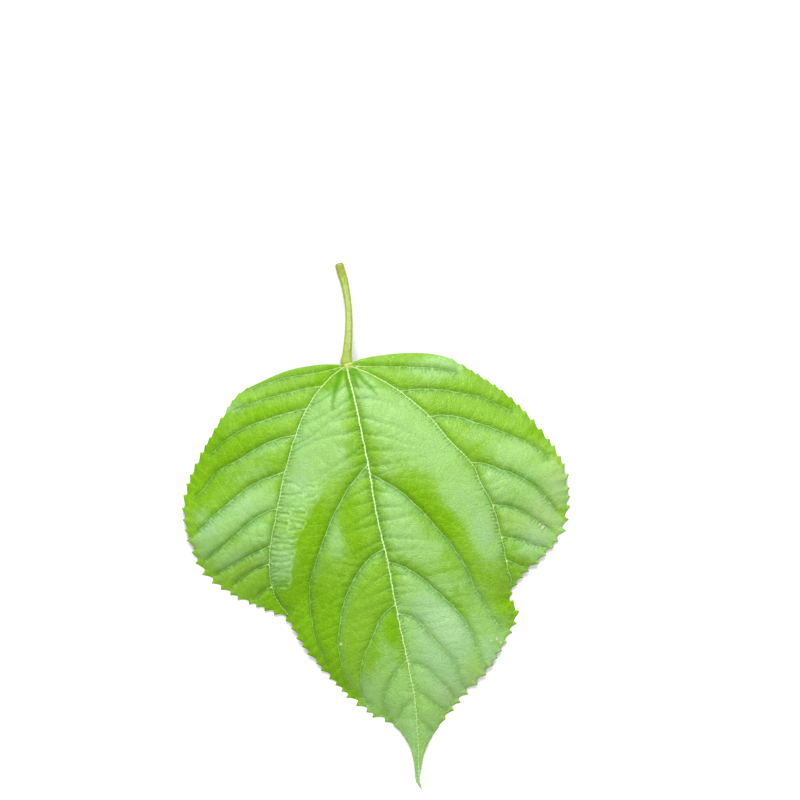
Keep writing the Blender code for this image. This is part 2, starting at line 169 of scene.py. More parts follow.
# Where painted sheen makes the blade paler: a painted reflection of the light on its waxy face
PAINTED_SHEEN_PATCHES = {
    "L ML1": [(306, 440, 26, 46, 1.0), (300, 480, 16, 20, 0.6)],
    "L M": [(332, 408, 16, 26, 0.7), (340, 388, 8, 18, 0.7)],
    "L F1": [(290, 492, 26, 16, 0.7), (286, 520, 22, 22, 0.35), (282, 564, 20, 26, 1.2)],
    "L ML1 M": [(335, 462, 18, 16, 0.4)],
    "M R": [(364, 390, 12, 18, 0.65)],
    "R M": [(394, 412, 26, 28, 0.9)],
    "R F2": [(430, 446, 34, 30, 1.0), (462, 492, 24, 26, 0.9), (483, 532, 16, 30, 1.3)],
    "MR1 M": [(395, 497, 18, 14, 0.9), (402, 532, 20, 26, 1.0)],
    "MR1 MR2": [(430, 548, 16, 16, 0.7), (440, 582, 22, 14, 0.6)],
    "MR2 M": [(422, 600, 30, 34, 0.9), (462, 622, 26, 36, 1.4), (440, 622, 30, 30, 0.7)],
    "M": [
        (435, 665, 34, 36, 1.2), (370, 400, 8, 40, 0.3), (345, 442, 12, 16, 0.3), (387, 466, 12, 14, 0.5),
    ],
    "ML3 M": [(405, 700, 20, 34, 1.0), (384, 650, 12, 22, 0.6)],
    "": [
        (414, 740, 18, 24, 0.8), (420, 775, 14, 20, 1.3), (235, 408, 14, 7, 0.8), (235, 572, 22, 10, 0.25),
        (500, 668, 16, 26, 0.7), (448, 695, 20, 18, 1.0), (430, 722, 12, 16, 0.7), (466, 678, 16, 14, 0.5),
        (370, 694, 14, 24, 0.9), (502, 628, 12, 14, 0.5), (202, 514, 10, 14, 0.7),
    ],
    "MR2": [(485, 650, 16, 26, 0.9), (474, 604, 20, 40, 0.45)],
    "LL4 L LL5": [(240, 506, 40, 24, 1.2)],
    "LL4": [(206, 532, 18, 26, 1.0)],
    "L LL5 LL6": [(258, 530, 20, 18, 0.9)],
    "L LL6": [(262, 556, 12, 10, 0.5)],
    "LL5 LL6": [(235, 560, 16, 12, 0.9)],
    "LL3 L LL4": [(262, 450, 26, 10, 0.6), (262, 470, 20, 8, 0.45)],
    "RR3 R": [(500, 475, 24, 16, 0.9)],
    "RR3": [(540, 514, 30, 34, 1.3), (529, 473, 14, 10, 0.8)],
    "RR2 RR3": [(515, 452, 28, 16, 1.0)],
    "RR2": [(555, 485, 16, 24, 1.4)],
    "R": [(532, 542, 18, 14, 1.1)],
    "RR2 R": [(478, 432, 28, 16, 0.5)],
    "F3": [(445, 366, 34, 14, 1.1)],
    "ML1": [(335, 534, 10, 32, 0.8)],
    "R RR4": [(497, 496, 9, 8, 0.5)],
    "LL3 LL4": [(232, 478, 20, 12, 0.35)],
}
# Painted shade: a darker, deeper yellow-green where the blade faces away from the light and catches no sheen
DEEP_SHADE_PATCHES = {
    "LL3": [(208, 455, 22, 36, 1.5)],
    "": [
        (194, 488, 14, 22, 1.5), (236, 599, 46, 14, 0.3), (295, 602, 26, 22, 1.5), (507, 603, 14, 20, 0.7),
        (326, 382, 14, 12, 0.9), (336, 374, 9, 12, 0.9), (370, 368, 10, 12, 0.5), (418, 376, 14, 8, 0.4),
        (505, 402, 24, 10, 0.5),
    ],
    "LL2 LL3 L": [(240, 445, 36, 12, 0.6), (262, 428, 24, 6, 0.4)],
    "LL1 LL2 L": [(262, 412, 36, 10, 0.8)],
    "LL3 LL4": [(225, 478, 22, 14, 0.7)],
    "ML1 F1": [(316, 540, 17, 56, 1.5)],
    "ML1 L": [(345, 495, 12, 26, 0.7)],
    "ML2": [(322, 650, 26, 46, 1.4)],
    "ML3": [(345, 704, 16, 20, 0.9)],
    "ML2 ML1": [(342, 590, 14, 40, 0.4)],
    "M ML3": [(390, 612, 9, 38, 1.0)],
    "ML3 M": [(372, 640, 10, 34, 0.6)],
    "MR1 F2": [(444, 516, 26, 26, 1.2), (418, 488, 22, 16, 0.8)],
    "R": [(512, 544, 8, 10, 0.5)],
    "M ML1": [(357, 540, 12, 24, 0.6), (352, 450, 8, 24, 0.5)],
    "RR2": [(540, 430, 18, 12, 0.7)],
    "LL1": [(252, 399, 30, 6, 0.4)],
}
# Painted light: lighter and a little yellow, where the relief would leave the blade in shade
PAINTED_LIGHT_PATCHES = {
    "": [
        (450, 694, 26, 18, 0.5), (474, 668, 16, 14, 0.5), (240, 568, 26, 10, 0.4), (545, 516, 26, 26, 0.8),
        (554, 472, 18, 24, 0.6), (522, 450, 24, 12, 0.4), (505, 520, 18, 18, 0.4),
    ],
}
# Where the tissue between the cross veins is puffed up
PUFFED_PATCHES = {
    "L F1": [(288, 545, 30, 54, 0.5)],
    "M L": [(340, 430, 26, 50, 1.0)],
    "M R": [(385, 430, 26, 50, 0.9)],
    "M MR1": [(395, 530, 22, 40, 1.0)],
    "M ML1": [(350, 560, 24, 50, 0.8)],
    "": [(240, 405, 26, 14, 1.0), (500, 500, 18, 50, 0.7)],
    "L": [(258, 545, 14, 40, 1.0)],
    "MR1": [(450, 600, 22, 40, 0.5)],
    "ML1 ML2": [(320, 610, 20, 40, 0.6)],
}
# The field in which the puffed bars show
BAR_FIELD = {"L F1": [(288, 534, 60, 58, 1.0)]}
PATCH_MOST = 2.2
# Small scars, each with its radius
SCARS_PX = [
    (543, 527, 2.0), (540, 524, 1.2), (341, 643, 2.0), (491, 640, 1.1), (497, 639, 1.3), (501, 643, 1.6),
]

# Teeth
TOOTH_PITCH = 0.0040
TOOTH_DEPTH = 0.0015
SMALL_TOOTH_DEPTH = 0.0006
TEETH_BEGIN, TEETH_FULL = 0.16, 0.50
TEETH_FADE, TEETH_END = 0.84, 0.90
TOOTH_TIP_AT = 0.86
TOOTH_NOTCH_AT = 0.89
TOOTH_SET_IN = 0.5
TOOTH_NOTCH_OUT = 0.3
TOOTH_BOW_AT = (0, 0.16, 0.32, 0.48, 0.64, 0.78)
TOOTH_PITCH_SPREAD = (0.72, 1.28)
TOOTH_DEPTH_SPREAD = (0.8, 1.2)
TOOTH_SEED = 5

# Relief of the whole blade, as in the solids
PEAK_AT = 0.20
TOUCHDOWN_AT = 0.96
JOINT_DROP = 0.20
LOW_EDGE = 0.0007
JOINT_REACH = 0.022
EDGE_WAVE = 0.0013
EDGE_WAVE_LENGTH = 0.041
EDGE_WAVE_SLANT = 0.3
PILLOW_HEIGHT = 0.0021
PILLOW_REACH = 0.0031
PILLOW_BLEND = 0.0016
PILLOW_EDGE_SPAN = (-0.004, 0.007)
PILLOW_FALL = 0.55
PILLOW_FALL_SPAN = (0.40, 0.80)
RIB_DEPTH = 0.0011
RIB_WIDENING = 1.6
RIB_TAPER = 0.6
RIB_FALL = 0.5
BASE_DEPTH = 0.0016
BASE_REACH = 0.0032

# The finer relief
VEIN_RISE = 0.00020
BASE_RISE = 0.0005
LADDER_PILLOW = 0.00016
PUFFED_PILLOW = 0.00055
LADDER_REACH = 0.0015
LADDER_RIB = 0.00016
LADDER_RIB_WIDTH = 0.0003
LINK_LESS = 0.0003
MARGIN_FADE = 0.003
VEIN_WOBBLE = 0.00013
SIDE_BLEND = 0.00025
# What keeps the combs of two veins, and of a vein's two sides, from being alike
VEIN_SHIFT, SIDE_SHIFT = 0.0131, 0.0057
GROOVE_DEPTH = 0.00034
GROOVE_REACH = 0.0010
WAVE_DEPTH = 0.00034
WAVE_WIDTH = 0.0006
WAVE_REACH = 0.0085
WAVE_FALL = 0.85
WAVE_FALL_SPAN = (0.065, 0.115)
BAR_WIDTH = 0.00045
BAR_DEPTH_SHARE = 0.45
PLEAT_DEPTH = 0.0006
PLEAT_REACH = 0.0011
PLEAT_FALL = 0.3

# The ladder of cross veins. What main and side veins send out: how far apart, as shares of the spacing,
# and how much it bends at each step.
LADDER_SEED = 4
LADDER_SPACING = 0.0040
LADDER_STEP = 0.0008
LADDER_MEET = 0.0007
LINK_SPACING = 0.0038
RUNG_LEAN = 0.24
SIDE_RUNG_LEAN = 0.60
MAIN_RUNGS = ((0.8, 1.7), 0.010)
SIDE_RUNGS = ((0.8, 1.2), 0.030)
LINK_SPREAD = (0.6, 1.4)
RUNG_START, LINK_START = (0.6, 1.0), (0.5, 1.0)
RUNG_TURN, LINK_TURN = 0.1, 0.5
RUNG_STEPS, LINK_STEPS = 40, 9
RUNG_WANDER, LINK_WANDER = 0.08, 0.2
OWN_VEIN_STEPS = 4
MARGIN_GAP = 0.0014

# Half-widths of veins where they leave the stalk or their parent vein
MIDRIB_HALF_WIDTH = 0.00025
PRIMARY_HALF_WIDTH = 0.00013
SIDE_HALF_WIDTH = 0.00009
VEIN_TAPER = 0.4

# Steps along lines, and the gaps between the mesh's points
EDGE_STEP = 0.0007
VEIN_STEP = 0.0009
LINE_STEP = 0.0018
VEIN_SAMPLE_STEP = 0.0003
EDGE_SAMPLE_STEP = 0.0004
CROSS_SAMPLE_STEP = 0.0002
FIELD_STEP = 0.00078
FIELD_JITTER = 0.12
FIELD_SEED = 7
FIELD_GAP = 0.00040
BESIDE_GAP = 0.00018
MAIN_BESIDE = (1.0, 2.1)
SIDE_BESIDE = (1.6,)

# The stalk from the blade: across, along, above its resting height (metres), and its swelling
STALK_RADIUS = 0.0014
STALK_GAP = 0.0004
STALK_SIDES = 32
STALK_GROOVE = 0.24
STALK_GROOVE_HALF_ANGLE = 0.75
STALK_STEP = 0.0005
STALK_ROUTE = [
    (0.0, 0.0, 0.0092, 1.25), (0.0016, 0.006, 0.0082, 1.2), (0.0030, 0.012, 0.0061, 1.06),
    (0.0040, 0.018, 0.0041, 0.95), (0.0045, 0.024, 0.0022, 0.98), (0.0044, 0.030, 0.0006, 1.1),
    (0.0040, 0.034, 0.0, 1.25), (0.0035, 0.038, 0.0, 1.25),
]
FLARE = 0.35
FLARE_REACH = 0.0024
FLARE_SINK = 0.0012
STALK_END_ROUNDING = 0.0009
STALK_END_SHARE = 0.75
STALK_SCAR_DEPTH = 0.00025
STALK_END_INNER = 0.55
STALK_SCAR_MIDDLE = 0.3
STALK_GROOVE_RUN_OUT = 0.006
STALK_GROOVE_AT_END = 0.15
STALK_SET_IN = 0.02
# Waves round the stalk: height as a share of its radius, how many go round, and turn from row to row
STALK_WAVES = ((0.012, 5, 0.22), (0.008, 9, -0.13))
SCAR_DOWN_STALK = 1.05

# Colours
# Painted shade, where the blade faces away from the light
GREEN_DEEP_SHADE = (0.140, 0.335, 0.001)
GREEN_MID = (0.175, 0.375, 0.012)
# Painted sheen in three steps of paleness; the first also colours the underside's mottle
GREEN_SHEEN_AND_MOTTLE = (0.262, 0.485, 0.115)
GREEN_SHEEN_HAZE = (0.295, 0.500, 0.220)
GREEN_SHEEN_GLOW = (0.355, 0.560, 0.265)
# Painted shade, and also the darker tone of the random grain
GREEN_SHADE_AND_GRAIN = (0.070, 0.225, 0.004)
GREEN_DUSK = (0.105, 0.290, 0.055)
# Painted light, a little yellow
GREEN_PAINTED_LIGHT = (0.400, 0.530, 0.120)
# Painted sheen beside the side veins, bluish and a little darkened
GREEN_SHEEN_BAND = (0.165, 0.365, 0.085)
# Painted shade in the pleats
GREEN_FOLD_SHADE = (0.085, 0.270, 0.006)
# Painted highlight on the puffed ends of the bars
GREEN_FRINGE_HIGHLIGHT = (0.340, 0.600, 0.200)
GREEN_NET = (0.300, 0.560, 0.030)
# The net's colour under the painted sheen
GREEN_NET_SHEEN = (0.330, 0.600, 0.220)
VEIN_CREAM = (0.550, 0.710, 0.290)
VEIN_GREEN = (0.540, 0.730, 0.280)
SCAR = (0.640, 0.570, 0.450)
UNDER_GREEN = (0.310, 0.500, 0.150)
UNDER_VEIN = (0.500, 0.640, 0.280)
STALK_GREEN = (0.200, 0.290, 0.015)
STALK_PALE = (0.290, 0.375, 0.038)
JOINT_PALE = (0.430, 0.520, 0.110)
STALK_BROWN = (0.300, 0.190, 0.050)
FLOOR_GREY = (0.90, 0.90, 0.90)

# Textures: scale per metre, detail and roughness
BLOTCHES, MOTTLE, GRAIN = (70, 3.0), (330, 4.0, 0.6), (1300, 4.0, 0.75)
CREASE_BREAKS, FRINGE_BREAKS = (700, 2.0), (420, 2.0)
COMB_UNEVEN, FAN_UNEVEN = (200, 1.0), (500, 2.0)
GLOSS_TEXTURE, SKIN, SCAR_EDGE = (300, 3.0), (1700, 4.0, 0.7), (1200, 2.0)
UNDER_MOTTLE, STREAKS, STALK_SKIN = (380, 4.0, 0.6), (900, 3.0, 0.6), (1500, 3.0)
NET_SCALE, FINE_NET_SCALE, UNDER_NET_SCALE = 520, 1300, 1050
NET_BEND, NET_BEND_SCALE = 0.003, 160
BLOTCH_SHARE, MOTTLE_SHARE, UNEVEN_MIDDLE = 0.6, 0.7, 0.65

# Fades: from and to, and then the shares there, where they aren't 0 and 1. Distances are in millimetres.
# Painted sheen in three steps
PAINTED_SHEEN_FADE, SHEEN_HAZE_FADE, SHEEN_GLOW_FADE = (0.15, 0.75), (0.8, 1.6), (1.6, 2.2)
# Painted light, then painted shade
PAINTED_LIGHT_FADE, DEEP_SHADE_FADE = (0.0, 1.0, 0.0, 0.55), (0.10, 0.75)
GRAIN_FADE = (0.36, 0.66, 0.0, 0.34)
TIP_SIDE_FADE = (-0.4, 0.4)
SIDE_VEIN_FADE, MAIN_VEIN_FADE, CREAM_FADE = (0.6, 0.8, 1.0, 0.0), (0.6, 1.0), (0.5, 0.8)
TO_TIP_FADE = (80, 140, 1.0, 0.35)
# Painted sheen and painted shade beside the side veins
SHEEN_BAND, BAND_EDGE_FADE = (0.0, 3.6, 0.92, 0.0), (4.0, 24.0, 0.25, 1.0)
PAINTED_SHADE_FADE, DARK_TIP_FADE, DARK_PALE_FADE = (0.0, 2.8, 0.52, 0.0), (75, 125, 1.0, 0.55), (0.9, 1.6, 1.0, 0.6)
NET_FADE, FINE_NET_FADE = (0.0, 0.10, 1.0, 0.0), (0.0, 0.18, 1.0, 0.0)
LINK = (0.02, 0.24, 0.20, 0.0)
RUNG_FADE, RUNG_VEIN_FADE = (0.02, 0.24, 0.34, 0.0), (3.0, 12.0, 1.0, 0.35)
# Painted shade along the creases, then painted highlights beside the bars
CREASE_SHADE_FADE, CREASE_BREAK_FADE = (0.06, 0.36, 1.0, 0.0), (0.30, 0.5)
FRINGE_IN, FRINGE_OUT = (0.35, 0.95), (0.95, 1.6, 1.0, 0.0)
FRINGE_BREAK_FADE = (0.36, 0.60, 0.0, 0.80)
PLEAT = (0.10, 0.85, 0.0, 0.85)
COMB_TIP_FADE, COMB_RANK_FADE, COMB_VEIN_FADE = (0.3, 1.0, 1.0, 0.0), (0.4, 1.0, 0.75, 1.0), (0.0, 0.15)
COMB_JOINT_FADE = (9, 22)
# Painted shade in the groove beside the veins
GROOVE_SHADE = (0.05, 0.7, 1.0, 0.0)
BARB_ROW_FADE, BARB = (0.04, 0.16, 0.45, 0.0), (0.0, 0.4, 1.0, 0.0)
VEIN_FADE = (-0.10, 0.07, 1.0, 0.0)
VEIN_TIP_FADE, VEIN_RANK_FADE = (0.35, 0.7, 0.7, 1.0), (0.5, 0.8, 0.9, 1.0)
EDGE = (0.1, 0.6, 0.30, 0.0)
JOINT = (2.2, 4.6, 0.9, 0.0)
GLOSS = (0.3, 0.7, 0.34, 0.44)

# How strong the layers of the upper face are
# How much the painted sheen hides the grain
SHEEN_SMOOTHING = 0.4
BAND_LOSS_IN_DEEP = 0.65
NET_SHARE = 0.24
WAVE_SHADE_SHARE = 0.45
COMB_SHADE_SHARE = 0.85
COMB_JOINT_SIDE = 0.2
# Combs of fine teeth beside the veins, in millimetres, and the slant, width and narrowing of a tooth
COMB_PITCH, COMB_LENGTH, COMB_SHORTEST = 1.4, 3.8, 0.3
COMB_SLANT, COMB_START, COMB_NARROWING, COMB_MIDDLE = 0.25, 0.13, 0.24, 0.46
GROOVE_JOINT_SIDE, GROOVE_MAIN = 0.65, 0.42
JOINT_UNEVEN = 2.5
SHINE, SHINE_LOSS_IN_DEEP, SHINE_LOSS_IN_PLEAT = 0.45, 0.36, 0.8
COMB_BUMP, NET_BUMP, FINE_NET_BUMP, SKIN_BUMP = -0.00008, -0.00008, -0.00003, 0.00009

# The studio: each lamp's direction and height in degrees, size, power, and whether it shows in the gloss
WORLD_STRENGTH = 0.15
LAMPS = {"sky": (92, 46, 0.7, 15.5, True), "fill": (270, 74, 1.2, 8.8, False)}
LAMP_DISTANCE = 1.1
FLOOR_SIZE = 4
LENS, SENSOR = 85, 36
CAMERA_CLIP = (0.05, 10)
CAMERA_FOCUS_HEIGHT = 0.003


def to_leaf(pixels):
    """Photograph pixels as metres in the leaf's plane."""
    away = np.array(pixels, float) - JOINT_PX
    away[:, 1] *= -1
    cos, sin = math.cos(TURN), math.sin(TURN)
    turned = [away[:, 0] * cos + away[:, 1] * sin, away[:, 1] * cos - away[:, 0] * sin]
    return np.column_stack(turned) * PIXEL


def along(points, step):
    """Points about `step` apart on a Catmull-Rom curve through the given ones."""
    ends = [2 * points[0] - points[1], *points, 2 * points[-1] - points[-2]]
    share = np.linspace(0, 1, 24, endpoint=False)[:, None]
    curve = [
        0.5 * (2 * b + (c - a) * share + (2 * a - 5 * b + 4 * c - d) * share**2
               + (3 * b - 3 * c + d - a) * share**3)
        for a, b, c, d in zip(ends, ends[1:], ends[2:], ends[3:])
    ]
    curve = np.vstack([*curve, points[-1:]])
    lengths = np.linalg.norm(np.diff(curve[:, :3], axis=0), axis=1)
    run = np.concatenate([[0], np.cumsum(lengths)])
    count = max(2, round(run[-1] / step) + 1)
    at = np.linspace(0, run[-1], count)
    return np.column_stack([np.interp(at, run, curve[:, k]) for k in range(curve.shape[1])])


def ramp(value, low, high):
    """0 below low, 1 above high, with a smooth rise between them."""
    share = np.clip((value - low) / (high - low), 0, 1)
    return share * share * (3 - 2 * share)


def headings(line):
    ahead = np.gradient(line, axis=0)
    return ahead / np.linalg.norm(ahead, axis=1)[:, None]


def toothed(line, outward):
    """One side of the margin with its teeth, each a long bowed edge and a short one behind its tip."""
    run = np.concatenate([[0], np.cumsum(np.hypot(*np.diff(line, axis=0).T))])
    length = run[-1]
    ahead = headings(line)

    def place(at, out):
        point = np.array([np.interp(at, run, line[:, k]) for k in range(2)])
        way = np.array([np.interp(at, run, ahead[:, k]) for k in range(2)])
        return point + out * outward * np.array([way[1], -way[0]])

    points = [place(at, 0) for at in np.arange(0, TEETH_BEGIN * length, EDGE_STEP)]
    at = TEETH_BEGIN * length
    draw = random.Random(TOOTH_SEED + outward)
    while at < TEETH_END * length:
        share = at / length
        pitch = TOOTH_PITCH * draw.uniform(*TOOTH_PITCH_SPREAD)
        growth = ramp(share, TEETH_BEGIN, TEETH_FULL)
        depth = SMALL_TOOTH_DEPTH + (TOOTH_DEPTH - SMALL_TOOTH_DEPTH) * growth
        depth *= (1 - ramp(share, TEETH_FADE, TEETH_END)) * pitch / TOOTH_PITCH
        depth *= draw.uniform(*TOOTH_DEPTH_SPREAD)
        for step in TOOTH_BOW_AT:
            bow = math.sin(math.pi / 2 * step / TOOTH_TIP_AT)
            points.append(place(at + step * pitch, depth * (bow - TOOTH_SET_IN)))
        points.append(place(at + TOOTH_TIP_AT * pitch, depth * (1 - TOOTH_SET_IN)))
        points.append(place(at + TOOTH_NOTCH_AT * pitch, depth * TOOTH_NOTCH_OUT))
        at += pitch
    points += [place(at, 0) for at in np.arange(at, length - EDGE_STEP / 2, EDGE_STEP)]
    return np.array([*points, line[-1]])


def nearest(points, line):
    """Each point's distance to a line of straight pieces, how far along it the nearest place is, 0 to 1,
    and on which side of it the point lies: 1 on the left of someone who walks along it, -1 on the right."""
    start, way = line[:-1], np.diff(line, axis=0)
    from_start = points[:, None] - start
    share = np.clip((from_start * way).sum(2) / (way**2).sum(1), 0, 1)
    away = np.hypot(*(from_start - share[..., None] * way).transpose(2, 0, 1))
    closest = away.argmin(1)
    rows = np.arange(len(points))
    x, y = from_start[rows, closest].T
    side = np.sign(way[closest, 0] * y - way[closest, 1] * x)
    return away[rows, closest], (closest + share[rows, closest]) / len(way), side


def inside(points, loop):
    start, end = loop, np.roll(loop, -1, axis=0)
    found = np.zeros(len(points), bool)
    for a, b in zip(start, end):
        crosses = (a[1] > points[:, 1]) != (b[1] > points[:, 1])
        level = a[0] + (points[:, 1] - a[1]) * (b[0] - a[0]) / (b[1] - a[1] or 1)
        found ^= crosses & (points[:, 0] < level)
    return found


class Vein:
    """A vein: its name, line, half-width at its start, how deep it stands below the blade, and which
    vein it leaves.
    `ladder` holds the sides, 1 for right and -1 for left, that its cross veins leave by."""

    def __init__(self, name, pixels, half_width, strength, parent=None, ladder=()):
        self.name = name
        route = to_leaf(pixels)
        if parent is not None:
            route[0] = parent.line[np.hypot(*(parent.line - route[0]).T).argmin()]
        draw = random.Random(name)
        self.line = along(route, LINE_STEP)
        for point in self.line[1:-1]:
            point += VEIN_WOBBLE * np.array([draw.uniform(-1, 1), draw.uniform(-1, 1)])
        self.dense = along(self.line, VEIN_STEP)
        self.length = np.hypot(*np.diff(self.line, axis=0).T).sum()
        self.half_width = half_width
        self.strength = strength
        self.ladder = ladder
        self.lean = RUNG_LEAN if strength == 1 else SIDE_RUNG_LEAN if name[0] == "M" else 0.0


def make_veins():
    midrib = Vein("M", MIDRIB_PX, MIDRIB_HALF_WIDTH, 1.0, ladder=(1, -1))
    left = Vein("L", LEFT_PRIMARY_PX, PRIMARY_HALF_WIDTH, 0.8, ladder=(1,))
    right = Vein("R", RIGHT_PRIMARY_PX, PRIMARY_HALF_WIDTH, 0.8, ladder=(-1,))
    basal_left = Vein("LB", LEFT_BASAL_PX, SIDE_HALF_WIDTH, 0.5, ladder=(1,))
    basal_right = Vein("RB", RIGHT_BASAL_PX, SIDE_HALF_WIDTH, 0.5, ladder=(-1,))
    found = [midrib, left, right, basal_left, basal_right]
    families = (
        (midrib, "ML", MIDRIB_LEFT_SIDES_PX, 1),
        (midrib, "MR", MIDRIB_RIGHT_SIDES_PX, -1),
        (left, "LL", LEFT_PRIMARY_SIDES_PX, 1),
        (right, "RR", RIGHT_PRIMARY_SIDES_PX, -1),
    )
    for parent, family, sides, back in families:
        for number, px in enumerate(sides, 1):
            found.append(Vein(f"{family}{number}", px, SIDE_HALF_WIDTH, 0.5, parent, (back,)))
    return found


def tree_of(points):
    tree = KDTree(len(points))
    for number, point in enumerate(points):
        tree.insert((*point, 0), number)
    tree.balance()
    return tree


class Near:
    """Points in square cells, to ask quickly whether one lies close to a place."""

    def __init__(self, reach):
        self.reach = reach
        self.cells = {}

    def add(self, points):
        for point in points:
            key = (int(point[0] // self.reach), int(point[1] // self.reach))
            self.cells.setdefault(key, []).append(point)

    def find(self, place):
        column, row = int(place[0] // self.reach), int(place[1] // self.reach)
        for i in (column - 1, column, column + 1):
            for j in (row - 1, row, row + 1):
                for point in self.cells.get((i, j), ()):
                    if math.dist(point, place) < self.reach:
                        return point
        return None


class Ladder:
    """The cross veins that join veins like rungs, and the links between them. Each runs on until it meets a
    vein or another of them."""

    def __init__(self, veins, margin):
        self.draw = random.Random(LADDER_SEED)
        samples, self.owner = [], []
        for number, vein in enumerate(veins):
            fine = along(vein.line, VEIN_SAMPLE_STEP)
            samples += list(fine)
            self.owner += [number] * len(fine)
        self.vein_tree = tree_of(samples)
        self.edge_tree = tree_of(margin)
        self.placed = Near(LADDER_MEET)
        self.rungs, self.links = [], []
        self.bars = [along(to_leaf(px), LADDER_STEP) for px in BARS_PX]
        for bar in self.bars:
            self.placed.add(bar)
        self.waves = list(self.bars)
        self.rungs += self.bars
        for number, vein in enumerate(veins):
            before = len(self.rungs)
            ahead = headings(vein.dense)
            for side in vein.ladder:
                spread, most_bend = MAIN_RUNGS if vein.strength == 1 else SIDE_RUNGS
                at = self.draw.uniform(*RUNG_START) * LADDER_SPACING / VEIN_STEP
                while at < len(vein.dense) - 1:
                    way = ahead[int(at)]
                    heading = math.atan2(-side * way[0], side * way[1])
                    heading += self.draw.uniform(-RUNG_TURN, RUNG_TURN) + vein.lean * side
                    start = vein.dense[int(at)]
                    self.grow(self.rungs, start, heading, number, RUNG_STEPS, RUNG_WANDER, most_bend)
                    at += self.draw.uniform(*spread) * LADDER_SPACING / VEIN_STEP
            if vein.strength == 1:
                self.waves += self.rungs[before:]
        for rung in list(self.rungs):
            ahead = headings(rung)
            at = self.draw.uniform(*LINK_START) * LINK_SPACING / LADDER_STEP
            while at < len(rung) - 2:
                way = ahead[int(at)] * self.draw.choice((1, -1))
                heading = math.atan2(-way[0], way[1]) + self.draw.uniform(-LINK_TURN, LINK_TURN)
                self.grow(self.links, rung[int(at)], heading, None, LINK_STEPS, LINK_WANDER, SIDE_RUNGS[1])
                at += self.draw.uniform(*LINK_SPREAD) * LINK_SPACING / LADDER_STEP

    def grow(self, lines, start, heading, parent, most, wander, most_bend):
        draw = self.draw
        bend = draw.uniform(-most_bend, most_bend)
        line = [start]
        for step in range(most):
            heading += bend + draw.uniform(-wander, wander)
            place = line[-1] + LADDER_STEP * np.array([math.cos(heading), math.sin(heading)])
            co, index, gap = self.vein_tree.find((*place, 0))
            if gap < 1.1 * LADDER_STEP and (self.owner[index] != parent or step > OWN_VEIN_STEPS):
                line.append(np.array(co[:2]))
                break
            met = self.placed.find(place) if step > 1 else None
            if met is not None:
                line.append(met)
                break
            if self.edge_tree.find((*place, 0))[2] < MARGIN_GAP:
                break
            line.append(place)
        if len(line) > 2:
            lines.append(np.array(line))
            self.placed.add(line)


def spaced(batches):
    """Batches of (points, gap) as one list, without those closer than the gap to one placed before."""
    placed = np.empty((0, 2))
    for points, gap in batches:
        if len(placed):
            tree = tree_of(placed)
            keep = [tree.find((*p, 0))[2] > gap for p in points]
            points = points[keep]
        placed = np.vstack([placed, points])
    return placed


